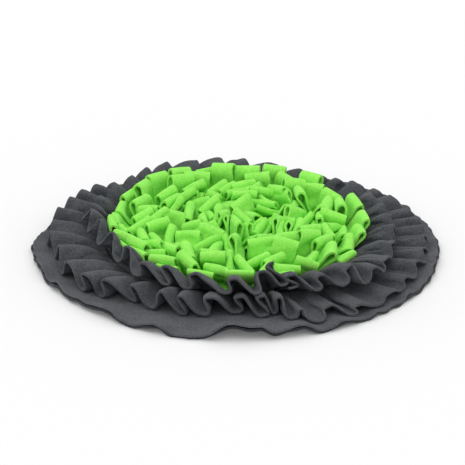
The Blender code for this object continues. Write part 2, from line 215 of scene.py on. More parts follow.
def cloth_object(name, points, faces, cut_edge, material, offset=0.0, crisp=False):
    """Thickened cloth from points in millimetres, faces, and how near each point is to a cut;
    the cut edge of a crisp one is not shaded round."""
    mesh = bpy.data.meshes.new(name)
    mesh.from_pydata((points * MM + np.array(RING_MIDDLE)).tolist(), [], faces)
    mesh.attributes.new("cut_edge", "FLOAT", "POINT").data.foreach_set(
        "value", np.asarray(cut_edge, dtype=np.float32).ravel())
    mesh.materials.append(material)
    mesh.shade_smooth()
    if crisp:
        corner_edge = np.zeros(len(mesh.loops), dtype=np.int32)
        mesh.loops.foreach_get("edge_index", corner_edge)
        faces_of_edge = np.bincount(corner_edge, minlength=len(mesh.edges))
        mesh.attributes.new("sharp_edge", "BOOLEAN", "EDGE").data.foreach_set(
            "value", faces_of_edge == 1)
    piece = bpy.data.objects.new(name, mesh)
    bpy.context.scene.collection.objects.link(piece)
    solid = piece.modifiers.new("fleece", "SOLIDIFY")
    solid.thickness = CLOTH * MM
    solid.offset = offset
    print(name, len(points), "points,", len(faces), "faces before thickening")
    return piece


# %% [markdown]
# ## The base cloths
# The base is two discs of fleece, one on the other.  They were cut by hand and are stretched
# along the rim, so their rims rise and fall in uneven waves, and the lower one follows the
# upper most of the way.  Noise would make such waves too, but each in the wrong place.
#
# A table gives the stops of the rim: where each low or crest stands, how high, and how far
# inside the full circle the scissors ran.  Half a cosine joins each stop to the next, and at
# the two sides of the mat a fine ripple is added.

# %% Waves of the rim
BASE_RADIUS = 241.0
WAVE_START = 200.0
LOWER_SHARE = 0.78
DRAW_IN = 0.25
LOWER_TOP = 2.5
UPPER_TOP = 5.3
LIFT_POWER = 1.3
RIPPLE = 1.0

Sine = namedtuple("Sine", "waves phase")
RIPPLE_SINES = (Sine(29, 1.0), Sine(41, 2.2))

Stop = namedtuple("Stop", "degrees lift trim")
RIM_STOPS = [Stop(*row) for row in (
    (181, 3, 0.5), (186, 1, 3), (190, 3, 4.5), (196.5, 6, 5), (205.5, 2, 5), (211.5, 6, 5),
    (218.3, 3, 5), (222, 6, 5), (226, 4.8, 5), (231.5, 9, 5), (241.5, 1, 3), (248.8, 7.5, 1),
    (254.5, 0, 0), (260, 0.5, 0), (269.7, 16.5, 0), (274.2, 12.5, 0), (276.4, 12.8, 0),
    (280.5, 5.5, 0), (287.3, 10, 0), (293.5, 0.5, 0), (300.5, 5, 0), (306.5, 0, 0),
    (310.2, 2.4, 0), (313.6, 0, 0), (317, 1.2, 0), (321, 0, 0), (324.6, 1.5, 0), (331, 0, 0),
    (338, 1.5, 0), (345.5, 3.5, 2), (352, 2, 1), (359, 3, 0.5), (366, 1, 1), (372, 3, 2),
    (379, 1, 3), (385, 3, 4), (391, 0.8, 4.5), (397, 2, 5), (404, 0.5, 6), (411, 1.5, 7),
    (418, 0.3, 8), (424, 1.5, 8.5), (431, 0.3, 9), (438, 1.2, 9), (446, 0.3, 9), (452, 1.2, 9),
    (459, 0.3, 9), (466, 1.2, 9), (474, 0.3, 9), (480, 1.2, 9), (487, 0.3, 8.5), (494, 1.2, 8),
    (502, 0.3, 8), (509, 1.2, 7.5), (518, 0.3, 9.5), (525, 1.2, 10), (532, 0.5, 8), (536, 2, 5))]


def along_rim(angle, field):
    """Lift or trim of the rim at an angle, by half cosines from each stop to the next."""
    table = np.array(RIM_STOPS, float)
    table = np.vstack([table, table[0] + [360, 0, 0]])
    stops, values = table[:, 0], table[:, Stop._fields.index(field)]
    turned = (np.degrees(angle) - stops[0]) % 360 + stops[0]
    index = np.clip(np.searchsorted(stops, turned, side="right") - 1, 0, len(stops) - 2)
    share = (turned - stops[index]) / (stops[index + 1] - stops[index])
    ease = (1 - np.cos(np.pi * share)) / 2
    return values[index] + (values[index + 1] - values[index]) * ease


def base_lift(angle, radius):
    """Lift of the upper disc: none inside WAVE_START, the whole wave at the rim, and with it
    a sum of sines, each raised to stay above zero, times the squared cosine of the angle."""
    ramp = np.clip((radius - WAVE_START) / (BASE_RADIUS - WAVE_START), 0, None)
    ripple = sum(1 + np.sin(sine.waves * angle + sine.phase) for sine in RIPPLE_SINES)
    at_sides = np.cos(angle) ** 2
    return along_rim(angle, "lift") * ramp ** LIFT_POWER + RIPPLE * ripple * at_sides * ramp ** 2


print("highest wave of the rim:", max(stop.lift for stop in RIM_STOPS), "mm")


# %% [markdown]
# The two discs don't lie exactly on each other, which is how one sees that there are two.  At
# the sides the upper one ends a little inside the lower, in front and behind the lower inside
# the upper.  Scissors leave a ragged line, which is drawn by a few short waves of random
# length.  All of it moves the points of the rim in, and those near the rim in less.

# %% Two discs
DISC_COLUMNS = 720
TRIM_POWER = 9
RAGGED = 0.3
RAGGED_SINES = 8
RAGGED_WAVES = (20, 90)
PHASES = (0, 6.28)
INSET = 3.2
INSET_WAVES = 7
INSET_UNEVEN = 0.3
CUT_WIDTH = 1.0
DISC_RADII = np.array([60.0, 120.0, 165.0, 190.0, 200.0, 207.0, 213.0, 219.0, 224.0, 229.0,
                       233.0, 236.5, 239.5, 241.0])


def base_disc(name, top, share, at_sides, seed, material):
    """Disc in polar rings round one middle point, its top face at height top + wave * share;
    radius = ring - DRAW_IN * wave - trim * (ring / BASE_RADIUS) ** TRIM_POWER, where trim is
    the table's, an uneven inset at the sides or at the front and back, and short cosines."""
    angle = np.arange(DISC_COLUMNS) * 2 * np.pi / DISC_COLUMNS
    radius = DISC_RADII[:, None]
    lift = base_lift(angle, radius) * share
    place = np.cos(angle) ** 2 if at_sides else np.sin(angle) ** 2
    uneven = 1 - INSET_UNEVEN + INSET_UNEVEN * np.sin(INSET_WAVES * angle)
    trim = along_rim(angle, "trim") + INSET * place * uneven
    random = np.random.default_rng(seed)
    for waves in random.integers(*RAGGED_WAVES, RAGGED_SINES):
        trim = trim + RAGGED * np.cos(waves * angle + random.uniform(*PHASES))
    trim = trim * (radius / BASE_RADIUS) ** TRIM_POWER
    drawn_in = radius - DRAW_IN * lift - trim
    rings = np.stack([drawn_in * np.cos(angle), drawn_in * np.sin(angle), top + lift], axis=-1)
    points = np.vstack([rings.reshape(-1, 3), [(0.0, 0.0, top)]])
    faces = disc_faces(len(DISC_RADII), DISC_COLUMNS)
    at_cut = DISC_RADII > BASE_RADIUS - CUT_WIDTH
    cut_edge = np.append(np.repeat(at_cut, DISC_COLUMNS), False)
    return cloth_object(name, points, faces, cut_edge, material, offset=-1.0, crisp=True)


# The lower disc wears the painted shade copy of the grey fleece.
base_lower = base_disc("base_lower_cloth", LOWER_TOP, LOWER_SHARE, False, 5, painted_shade_fleece)
# The upper disc wears the painted light copy of the grey fleece.
base_upper = base_disc("base_upper_cloth", UPPER_TOP, 1.0, True, 6, painted_light_base_fleece)

# %% [markdown]
# ## The ruffles
# A ruffle is a long straight strip, gathered along one edge and sewn down in a ring, so that
# its free edge has far more cloth than room and swings to and fro.  The free edge is drawn as
# a meander: each row of a table gives a low turn and the top turn that follows it, each by its
# angle, its distance from the middle and its height.  The tangents run round the mat.  Three
# lengths say how far: `sweep` into the low turn, `turn` on the wall between the two, `drop` out
# of the top.  A long one rolls the cloth over its top and under its bottom.  The lower ruffle
# closes into a ring, and the two ends of the upper one meet at the front.

# %% Tables of folds
Fold = namedtuple("Fold", "low_deg low_reach low top_deg top_reach top sweep turn drop")
LOWER_FOLDS = [Fold(*row) for row in (
    (181.8, 222, 8, 185.2, 216, 27, 34, 50, 36), (191.4, 214, 8, 196.2, 210, 28, 36, 54, 40),
    (203.2, 215, 8, 209.2, 215, 28, 42, 64, 50), (217.9, 216, 8, 219.4, 215, 28, 44, 58, 48),
    (224.7, 210, 8, 226.0, 205, 28, 40, 54, 42), (234.5, 196, 8, 235.7, 198, 28, 30, 50, 24),
    (242.6, 198, 8, 246.6, 199, 29, 41, 38, 15), (253.0, 201, 8, 253.2, 200, 30, 30, 52, 15),
    (259.6, 197, 8, 262.4, 195, 29, 35, 64, 20), (270.3, 189, 8, 272.3, 187, 28, 30, 67, 10),
    (278.6, 197, 8, 279.6, 189, 26, 28, 74, 14), (282.6, 195, 8, 284.2, 196, 29, 12, 30, 26),
    (287.1, 214, 8, 290.5, 212, 16, 44, 34, 8), (293.3, 228, 8, 298.7, 214, 17, 56, 60, 20),
    (303.0, 235, 8, 305.5, 230, 17, 30, 50, 30), (311.7, 235, 8, 318.4, 230, 16, 30, 50, 20),
    (324.1, 229, 8, 328.9, 223, 17, 20, 46, 20), (333.3, 227, 8, 338.7, 221, 18, 20, 34, 16),
    (343.8, 227, 8, 348.9, 222, 17, 18, 18, 18), (353.0, 227, 8, 357.1, 222, 18, 18, 18, 18),
    (360.8, 227, 8, 364.6, 222, 18, 18, 18, 18), (367.9, 226, 8, 371.3, 221, 19, 20, 20, 20),
    (374.6, 225, 8, 377.8, 219, 20, 22, 22, 22), (383.0, 223, 8, 388.2, 217, 22, 24, 26, 24),
    (392.0, 221, 8, 395.9, 215, 22, 26, 28, 26), (400.0, 218, 8, 404.0, 212, 20, 26, 28, 26),
    (408.1, 216, 8, 412.1, 211, 18, 26, 30, 26), (416.4, 216, 8, 420.6, 211, 17, 26, 30, 26),
    (425.0, 217, 8, 429.4, 213, 16, 26, 30, 26), (434.0, 219, 8, 438.6, 214, 16, 26, 30, 26),
    (442.9, 219, 8, 447.3, 214, 16, 26, 30, 26), (451.9, 219, 8, 456.5, 215, 16, 26, 30, 26),
    (460.9, 221, 8, 465.3, 218, 16, 26, 30, 26), (469.3, 221, 8, 473.4, 215, 17, 26, 30, 26),
    (477.5, 217, 8, 481.7, 209, 18, 26, 30, 26), (485.7, 213, 8, 489.7, 206, 22, 26, 30, 26),
    (493.4, 212, 8, 497.2, 208, 25, 24, 30, 24), (500.5, 216, 8, 503.8, 214, 26, 24, 30, 24),
    (507.0, 220, 8, 510.3, 217, 27, 24, 30, 24), (513.8, 223, 8, 517.3, 218, 27, 24, 30, 24),
    (521.8, 224, 8, 526.3, 220, 27, 24, 32, 24), (530.2, 224, 8, 534.1, 219, 25, 24, 32, 24))]
UPPER_FOLDS = [Fold(*row) for row in (
    (289.3, 177, 27, 292.2, 171, 42, 50, 110, 14), (297.6, 195, 28, 299.8, 188, 43, 25, 50, 20),
    (306.5, 199, 28, 312.0, 190, 43, 25, 72, 20), (313.4, 211, 28, 317.7, 208, 41, 36, 44, 24),
    (323.3, 206, 28, 324.7, 204, 38, 20, 26, 20), (336.2, 194, 24, 339.7, 190, 37, 18, 26, 18),
    (348.7, 189, 23, 352.6, 185, 37, 18, 22, 18), (358.2, 189, 23, 363.9, 183, 37, 20, 22, 20),
    (368.3, 188, 23, 372.7, 182, 38, 22, 24, 22), (378.8, 187, 23, 384.8, 182, 37, 22, 26, 22),
    (391.7, 189, 23, 398.6, 187, 36, 24, 30, 24), (402.1, 188, 25, 405.6, 179, 34, 24, 28, 24),
    (409.8, 183, 25, 414.1, 178, 34, 24, 28, 24), (419.1, 184, 25, 424.1, 180, 34, 26, 32, 26),
    (429.7, 187, 25, 435.3, 184, 35, 26, 32, 26), (444.6, 193, 25, 446.8, 193, 36, 26, 10, 30),
    (453.9, 200, 25, 456.1, 198, 37, 26, 8, 30), (463.2, 202, 25, 465.2, 196, 37, 26, 8, 30),
    (474.2, 200, 25, 476.4, 195, 38, 26, 8, 30), (484.0, 196, 25, 486.2, 188, 39, 26, 8, 28),
    (493.0, 190, 25, 495.2, 181, 40, 24, 10, 26), (501.3, 182, 26, 507.4, 173, 41, 24, 30, 24),
    (514.0, 179, 26, 520.6, 175, 42, 24, 30, 24), (524.8, 180, 26, 529.0, 175, 43, 24, 34, 18),
    (531.8, 183, 27, 536.8, 168, 43, 40, 54, 24), (543.0, 174, 27, 546.0, 157, 43, 44, 60, 30),
    (556.0, 164, 27, 562.1, 151, 43, 46, 62, 30), (574.7, 164, 27, 578.0, 152, 43, 46, 60, 28),
    (590.8, 173, 28, 593.4, 168, 43, 40, 54, 24), (603.5, 176, 28, 603.2, 166, 43, 30, 64, 24),
    (612.0, 177, 28, 615.2, 167, 43, 20, 56, 22), (626.7, 181, 28, 629.7, 176, 43, 24, 50, 22),
    (637.0, 188, 30, 640.6, 161, 43, 20, 46, 30), (647.3, 175, 33, 646.3, 152, 48, 24, 75, 5))]
print("folds:", len(LOWER_FOLDS), "in the lower ruffle,", len(UPPER_FOLDS), "in the upper one")

# %% [markdown]
# A table alone would look too regular, so every turn first moves a little out of its place:
# the reach and height of its low, then those of its top.  A cubic Hermite curve then runs from
# turn to turn.  Unlike a plain wave it may double back, as the edge of a full ruffle does.

# %% The free edge as a meander
END_SEAM = 5.0
FOLD_STEPS = 14
UNEVEN = {"low_reach": 1.5, "low": 0.6, "top_reach": 1.5, "top": 1.4}

Edge = namedtuple("Edge", "angle seam reach rise low top")


def in_turn(lows, tops):
    """One row of numbers in which those of the lows and of the tops alternate."""
    return np.stack([lows, tops], axis=1).ravel()


def free_edge(folds, closed, random):
    """Meander through the turns, each a little out of its place: a cubic Hermite curve from
    each turn to the next, for every column its angle, its angle at the seam, its reach, its
    rise (0 low, 1 top), and the heights of the low and of the top turns near it."""
    table = np.array(folds, float)
    moved = [Fold._fields.index(field) for field in UNEVEN]
    stray = random.uniform(-1, 1, (len(table), len(moved)))
    table[:, moved] += stray * list(UNEVEN.values())
    if closed:
        once_round = [360 if field.endswith("deg") else 0 for field in Fold._fields]
        table = np.vstack([table, table[0] + once_round])
    fold = Fold(*table.T)
    following = np.append(fold.low_deg[1:], fold.low_deg[-1] + 2 * END_SEAM)
    angle = in_turn(fold.low_deg, fold.top_deg)
    seam = in_turn(fold.low_deg, (fold.low_deg + following) / 2)
    reach = in_turn(fold.low_reach, fold.top_reach)
    leaving = in_turn(fold.turn, fold.drop) / reach
    arriving = in_turn(fold.sweep, fold.turn) / reach
    rise = np.tile([0.0, 1.0], len(table))
    if closed:
        angle, seam, reach, leaving, arriving, rise = (
            row[:-1] for row in (angle, seam, reach, leaving, arriving, rise))
    angle, seam = np.radians(angle), np.radians(seam)
    share = np.arange(FOLD_STEPS) / FOLD_STEPS
    ease = share ** 2 * (3 - 2 * share)

    def run(values, blend):
        rows = values[:-1, None] + np.diff(values)[:, None] * blend
        return np.append(rows.ravel(), [] if closed else values[-1])

    swing = (leaving[:-1, None] * (share * (1 - share) ** 2)
             + arriving[1:, None] * (share ** 2 * (share - 1))).ravel()
    meander = run(angle, ease) + np.append(swing, [] if closed else 0.0)
    place = run(np.arange(len(angle), dtype=float), share)
    low = np.interp(place, np.arange(len(table)) * 2, fold.low)
    top = np.interp(place, np.arange(len(table)) * 2 + 1, fold.top)
    return Edge(meander, run(seam, share), run(reach, ease), run(rise, ease), low, top)


# %% [markdown]
# From the free edge the cloth runs in to the seam.  A small table says which share of its
# height it has reached on the way, for a low turn and for a top turn, and how far it has swung
# out; a parabola through its rows fills in the rest.  Near the seam the pipes are narrow and
# the creases between them sharp, which a power of the rise below one gives.  On the side of
# the mat that is farthest from PIPE_SIDE the folds open towards their free edge.

# %% From the seam to the free edge
SEAM_HEIGHT = 7.0
LYING_HEIGHT = 7.1
LOWER_SEAM_RADIUS = 153.0
UPPER_SEAM_RADIUS = 141.5
SEWN_BACK = 8.0
RUFFLE_ROWS = 24
CUT_MARGIN = 0.985
CREASE_POWER = 0.5
PIPE_SIDE = np.radians(55)

Rise = namedtuple("Rise", "share low top spread")
LOWER_RISE = [Rise(0.0, 0.0, 0.0, 0.0), Rise(0.4, 0.28, 0.64, 0.8), Rise(1.0, 1.0, 1.0, 1.0)]
UPPER_RISE = [Rise(0.0, 0.0, 0.0, 0.0), Rise(0.45, 0.52, 0.7, 0.75), Rise(1.0, 1.0, 1.0, 1.0)]
print("sewn rings, mm:", LOWER_SEAM_RADIUS, "and", UPPER_SEAM_RADIUS)

# %% [markdown]
# The thread pulls a strip together in many small gathers, more of them than there are folds.
# They are sharp creases with round backs between them, which is the shape of the absolute
# value of a sine, and a slow second sine bunches them.  They are deepest halfway and fade
# towards the free edge, and they are deeper near PIPE_SIDE, where the folds stay closed.
# Small uneven wrinkles lie over it all.

# %% Gathers and wrinkles
GATHERS = 62
GATHER_DEPTH = 3.2
GATHER_MIDDLE = 0.6
BUNCHES = 5
BUNCHING = 2.5
GATHERS_AT_EDGE = 0.3
MOST_GATHERED = 1.5
WRINKLE = 0.6
WANDER = 2.0
WRINKLE_SINES = 8
WAVES_ROUND = (25, 120)
WAVES_OUT = (-14, 14)


def gathers(around):
    """Absolute value of a sine of half GATHERS waves round the mat, about its middle; its
    phase runs ahead and behind by a sine of BUNCHES waves."""
    bunched = BUNCHING * np.sin(BUNCHES * around + 1)
    return np.abs(np.sin(GATHERS / 2 * around + bunched)) - GATHER_MIDDLE


def wrinkles(around, share, random):
    """Sum of eight sine waves of random direction, one to five centimetres long."""
    total = np.zeros(np.broadcast(around, share).shape)
    for _ in range(WRINKLE_SINES):
        waves_round, waves_out = random.integers(*WAVES_ROUND), random.uniform(*WAVES_OUT)
        total += np.sin(waves_round * around + waves_out * share + random.uniform(*PHASES))
    return total / WRINKLE_SINES ** 0.5


print("gathers:", GATHERS, "to the round,", GATHER_DEPTH, "mm deep")

# %% [markdown]
# Now both ruffles can be made.  The rings are sewn on a little behind the middle of the base,
# and cloth that would sink into the base comes to lie on it.

# %% Ruffle surfaces
def ruffle(name, folds, rises, seam_radius, closed, seed, material):
    """Sheet between the sewn ring and the meander, whose radius and angle run from the one to
    the other with share; height = low * (1 - rise) + top * rise + the lift of the base +
    wrinkles + gathers, where rise is the meander's rise to a power of one half to one."""
    random = np.random.default_rng(seed)
    edge = free_edge(folds, closed, random)
    share = np.append(np.linspace(0, CUT_MARGIN, RUFFLE_ROWS - 1), 1.0)[:, None]
    way = Rise(*np.array(rises).T)
    low, top, spread = (np.polyval(np.polyfit(way.share, column, 2), share)
                        for column in (way.low, way.top, way.spread))
    around = edge.seam + (edge.angle - edge.seam) * spread
    held = share * (1 - share) * 4
    around = around + WANDER / edge.reach * held * wrinkles(edge.seam, share, random)
    sewn = seam_radius + SEWN_BACK * np.sin(edge.seam)
    radius = sewn + (edge.reach - sewn) * share
    open_folds = 0.5 - 0.5 * np.cos(edge.seam - PIPE_SIDE)
    rise = edge.rise ** (CREASE_POWER + (1 - CREASE_POWER) * share * open_folds)
    lift = base_lift(around, radius)
    height = (SEAM_HEIGHT + low * (edge.low - SEAM_HEIGHT) * (1 - rise)
              + top * (edge.top - SEAM_HEIGHT) * rise + lift)
    height = height + WRINKLE * share * wrinkles(edge.seam, share, random)
    gathered = held * (1 - GATHERS_AT_EDGE) + share * GATHERS_AT_EDGE
    depth = GATHER_DEPTH * (MOST_GATHERED - open_folds) * gathered
    height = np.maximum(height + depth * gathers(edge.seam), LYING_HEIGHT + lift)
    points = np.stack([radius * np.cos(around), radius * np.sin(around), height], axis=-1)
    cut_edge = np.repeat(share > CUT_MARGIN, len(edge.angle))
    faces = grid_faces(RUFFLE_ROWS, len(edge.angle), closed).tolist()
    piece = cloth_object(name, points.reshape(-1, 3), faces, cut_edge, material)
    lengths = np.linalg.norm(np.diff(points, axis=1), axis=2).sum(axis=1)
    widths = np.linalg.norm(np.diff(points, axis=0), axis=2).sum(axis=0)
    print(name, "free edge", round(lengths[-1]), "mm, strip width", round(widths.mean(), 1), "mm")
    return piece, widths.mean() * MM, lengths[-1] * MM


ruffle_lower, lower_width, lower_length = ruffle(
    "ruffle_lower_cloth", LOWER_FOLDS, LOWER_RISE, LOWER_SEAM_RADIUS, True, 3, grey_fleece)
ruffle_upper, upper_width, upper_length = ruffle(
    "ruffle_upper_cloth", UPPER_FOLDS, UPPER_RISE, UPPER_SEAM_RADIUS, False, 4, grey_fleece)

# %% [markdown]
# ## The pile
# In the middle stand about a hundred and fifty strips, each folded double and sewn down by
# both ends.  They are so crowded that every one takes its shape from its neighbours, and no
# formula gives that.  So the pile is grown: the strips start as tiny upright loops that touch
# nothing, and lengthen to full size while they push each other aside.  A strip is a net of
# points held at their distances, and points of two strips keep about BALL apart.
#
# The roots follow the spiral of a sunflower, which fills a disc evenly, and then stray a bit.

# %% Where the strips are sewn
STRIPS = 148
ROOT_RADIUS = 132.0
ROOT_JITTER = 2.5
RIM_FROM = 0.6
RIM_WIDE = 0.3
BACK_WIDE = 1.3

random = np.random.default_rng(11)
index = np.arange(STRIPS) + 0.5
turn = index * np.pi * (3 - 5 ** 0.5)
root = np.stack([np.cos(turn), np.sin(turn)], 1)
root = (ROOT_RADIUS * np.sqrt(index / STRIPS))[:, None] * root
root = root + random.uniform(-ROOT_JITTER, ROOT_JITTER, (STRIPS, 2))
outward = np.arctan2(root[:, 1], root[:, 0])
out_of_middle = np.hypot(*root.T) / ROOT_RADIUS
rim = np.clip((out_of_middle - RIM_FROM) / RIM_WIDE, 0, 1)
behind = np.clip(np.sin(outward) * BACK_WIDE, 0, 1) * rim
print("strips:", STRIPS, "of which", int((rim > 0.5).sum()), "near the rim")

# %% [markdown]
# In the middle the strips face every way.  At the rim they face outwards, those at the back
# are longer and those in front shorter, and at the right front they lie in good order.  The
# sewn end of a wide strip reaches out from its root, so the roots near the edge of the backing
# move in until the whole end is on it.

# %% How they face and how large they are
BACKING_RADIUS = 138.0
STRIP_LENGTH = (68.0, 86.0)
RIM_LONGER = 0.08
BACK_LONGER = 0.14
FRONT_SHORTER = 0.14
STRIP_WIDTH = (26.0, 33.0)
MIDDLE_TWIST = 1.5
RIM_TWIST = 0.6
CORNER_ORDER = 0.8
CORNER_WIDE = 1.5
CORNER_SIDE = -0.8
FRONT_TURN = -0.6
FRONT_SIDE = -1.7
FRONT_WIDE = 0.5
ROOT_WIDTH = 0.62
ROOT_MARGIN = 2.0

corner = np.clip(CORNER_WIDE * np.cos(outward - CORNER_SIDE), 0, 1)
stray_twist = MIDDLE_TWIST + (RIM_TWIST - MIDDLE_TWIST) * rim * (1 - CORNER_ORDER * corner)
front = np.exp(-((outward - FRONT_SIDE) / FRONT_WIDE) ** 2) * rim
twist = outward + np.pi / 2 + FRONT_TURN * front + stray_twist * random.uniform(-1, 1, STRIPS)
longer = (RIM_LONGER * rim + BACK_LONGER * behind
          - FRONT_SHORTER * np.clip(-np.sin(outward), 0, 1) * rim)
length = random.uniform(*STRIP_LENGTH, STRIPS) * (1 + longer)
width = random.uniform(*STRIP_WIDTH, STRIPS)
half_root = ROOT_WIDTH * width / 2 * np.abs(np.cos(twist - outward))
room = BACKING_RADIUS - ROOT_MARGIN - half_root
root = root * np.minimum(1, room / np.hypot(*root.T))[:, None]
print("strips:", round(length.sum() * MM, 2), "m of fleece,", round(width.mean(), 1), "mm wide")

# %% [markdown]
# Cloth that was stroked or slept on leans in patches.  So each strip feels a light wind: the
# ones near the rim outwards, the ones in the middle to a side that drifts slowly from place to
# place, and every one a bit to a side of its own.  At the back a ring of strips leans inwards
# instead, which parts the tall rim from the rest.

# %% Which way each strip leans
LEAN_OUT = 1.6
LEAN_DRIFT = 1.8
LEAN_STRAY = 0.9
BACK_UPRIGHT = 0.6
BACK_ORDER = 0.5
PARTING = 2.4
PARTING_AT = 0.72
PARTING_WIDE = 0.12

Drift = namedtuple("Drift", "swing length phase")
DRIFT_X = Drift(2.6, 19, 0.6)
DRIFT_Y = Drift(2.8, 17, -0.4)

drift_side = (DRIFT_X.swing * np.sin(root[:, 0] / DRIFT_X.length + DRIFT_X.phase)
              + DRIFT_Y.swing * np.cos(root[:, 1] / DRIFT_Y.length + DRIFT_Y.phase))
parting = (np.exp(-((out_of_middle - PARTING_AT) / PARTING_WIDE) ** 2)
           * np.clip(np.sin(outward) * BACK_WIDE, 0, 1))
stray_side = random.uniform(0, 2 * np.pi, STRIPS)
lean_out = LEAN_OUT * out_of_middle ** 2 * (1 - BACK_UPRIGHT * behind) - PARTING * parting
lean_drift = LEAN_DRIFT * (1 - rim)
lean_stray = LEAN_STRAY * random.uniform(0, 1, STRIPS) * (1 - BACK_ORDER * behind)
lean = np.ones((STRIPS, 3))
for axis, wave in ((0, np.cos), (1, np.sin)):
    lean[:, axis] = (wave(outward) * lean_out + wave(drift_side) * lean_drift
                     + wave(stray_side) * lean_stray)
print("strongest lean:", round(np.hypot(lean[:, 0], lean[:, 1]).max(), 2))

# %% [markdown]
# A seedling is a slim upright loop at a third of its size, with both ends at its root and the
# fold on top.  A strip is pinched where it is sewn, and fans out to its full width halfway up.

# %% Seedlings
ROWS = 15
COLUMNS = 7
BACKING_TOP = 8.1
SEEDLING = 0.35
LEG_HALF = 1.6

along = np.linspace(-1, 1, ROWS)
rise = 1 - np.abs(along)
across = np.linspace(-1, 1, COLUMNS)
fan_out = ROOT_WIDTH + (1 - ROOT_WIDTH) * np.sin(np.pi / 2 * np.clip(rise * 2, 0, 1))
strip_axis = np.stack([np.cos(twist), np.sin(twist), 0 * twist], axis=1)
leg_axis = np.stack([-np.sin(twist), np.cos(twist), 0 * twist], axis=1)
leg = np.sign(along) * LEG_HALF * np.sqrt(1 - rise ** 4)
seedling = np.zeros((STRIPS, ROWS, COLUMNS, 3))
seedling[..., :2] = root[:, None, None]
seedling[..., 2] = BACKING_TOP + SEEDLING * (length[:, None] / 2 * rise)[:, :, None]
seedling += leg[None, :, None, None] * leg_axis[:, None, None]
seedling += (SEEDLING * width / 2)[:, None, None, None] * (
    fan_out[:, None] * across)[None, :, :, None] * strip_axis[:, None, None]
seedling = np.round(seedling, 4)
print("seedlings:", seedling.shape[:-1], "points, top", round(seedling[..., 2].max(), 1), "mm")

# %% [markdown]
# Which points are close enough to touch?  Comparing every point with every other would take
# too long, so the points are sorted into cubic cells as wide as the reach, and each cell is
# set against itself and its thirteen neighbours on one side.

# %% Neighbour search
NEAR_CELLS = [(x, y, z) for x in (-1, 0, 1) for y in (-1, 0, 1) for z in (-1, 0, 1)
              if (x, y, z) > (0, 0, 0)]


def near_pairs(points, reach):
    """Index pairs of points closer than reach, each pair once."""
    cell = np.floor((points - points.min(0)) / reach).astype(np.int64) + 1
    size = cell.max(0) + 2
    key = (cell[:, 0] * size[1] + cell[:, 1]) * size[2] + cell[:, 2]
    order = np.argsort(key, kind="stable")
    key = key[order]
    here = np.arange(len(points))
    starts = [here + 1]
    ends = [np.searchsorted(key, key, "right")]
    for x, y, z in NEAR_CELLS:
        aim = key + (x * size[1] + y) * size[2] + z
        starts.append(np.searchsorted(key, aim, "left"))
        ends.append(np.searchsorted(key, aim, "right"))
    start = np.concatenate(starts)
    count = np.concatenate(ends) - start
    first = np.repeat(np.tile(here, len(starts)), count)
    second = np.arange(count.sum()) - np.repeat(np.cumsum(count) - count - start, count)
    first, second = order[first], order[second]
    close = ((points[first] - points[second]) ** 2).sum(1) < reach ** 2
    return first[close], second[close]


print("seedling points within 2 mm:", len(near_pairs(seedling.reshape(-1, 3), 2.0)[0]), "pairs")

# %% [markdown]
# The net of a strip keeps its lengths by links between points: along and across the strip,
# slantwise against shear, and over two or more steps across it, since a folded strip hardly
# bends that way.  A weak link over two steps along it is the spring of the fleece, which
# opens the fold as far as the neighbours let it.

# %% Links of the net
SHEAR_HOLD = 0.3
SPINE_HOLD = 0.5
SPINE_PAIRS = ((0, 2), (2, 4), (4, 6), (1, 3), (3, 5), (0, 6))
SPRING = 0.045

Link = namedtuple("Link", "one other rest hold")
number = np.arange(STRIPS * ROWS * COLUMNS).reshape(STRIPS, ROWS, COLUMNS)
step_long = np.broadcast_to((length / (ROWS - 1))[:, None, None], number.shape)
step_wide = (width / (COLUMNS - 1))[:, None, None] * fan_out[:, None] * np.ones(COLUMNS)
step_slant = np.hypot(step_long, step_wide)


def links(one, other, rest, hold):
    """Links from each point of one block of the net to the same point of another block."""
    return Link(one.ravel(), other.ravel(), rest.ravel()[:, None], hold)


net = []
for odd in (0, 1):
    net.append(links(number[:, odd:-1:2], number[:, odd + 1::2], step_long[:, odd:-1:2], 1.0))
for odd in (0, 1):
    net.append(links(number[:, :, odd:-1:2], number[:, :, odd + 1::2],
                     step_wide[:, :, odd:-1:2], 1.0))
for odd in (0, 1):
    rest = step_slant[:, odd:-1:2, :-1]
    net.append(links(number[:, odd:-1:2, :-1], number[:, odd + 1::2, 1:], rest, SHEAR_HOLD))
    net.append(links(number[:, odd:-1:2, 1:], number[:, odd + 1::2, :-1], rest, SHEAR_HOLD))
for one, other in SPINE_PAIRS:
    net.append(links(number[:, :, one], number[:, :, other],
                     step_wide[:, :, 0] * (other - one), SPINE_HOLD))
for start in range(4):
    one = number[:, start:-2:4]
    other = number[:, start + 2::4]
    net.append(links(one, other, 2 * step_long[:, start:-2:4], SPRING))
print("links:", sum(len(link.one) for link in net))

# %% [markdown]
# Moving points instead of adding up forces keeps such a crowd calm: every link moves its two
# ends to the right distance, and points that are too near move apart.

# %% Pulls and pushes
PUSH = 0.8


def pull(points, link, size, free):
    """Move the two ends of each link towards its rest length; a sewn end stays where it is."""
    apart = points[link.one] - points[link.other]
    distance = np.sqrt((apart ** 2).sum(1, keepdims=True)) + 1e-9
    fix = apart * (distance - link.rest * size) / distance * link.hold
    share = free[link.one] / np.maximum(free[link.one] + free[link.other], 1)
    points[link.one] -= fix * share
    points[link.other] += fix * (1 - share) * free[link.other]


def push_apart(points, one, other, ball, free):
    """Move touching points apart, each by the mean of the pushes that it gets."""
    apart = points[one] - points[other]
    distance = np.sqrt((apart ** 2).sum(1)) + 1e-9
    deep = np.clip(ball - distance, 0, None) / distance
    hits = np.bincount(one, deep > 0, len(points)) + np.bincount(other, deep > 0, len(points))
    strength = PUSH / np.maximum(hits, 1) * free[:, 0]
    for side in range(3):
        push = apart[:, side] * deep
        total = np.bincount(one, push, len(points)) - np.bincount(other, push, len(points))
        points[:, side] += total * strength


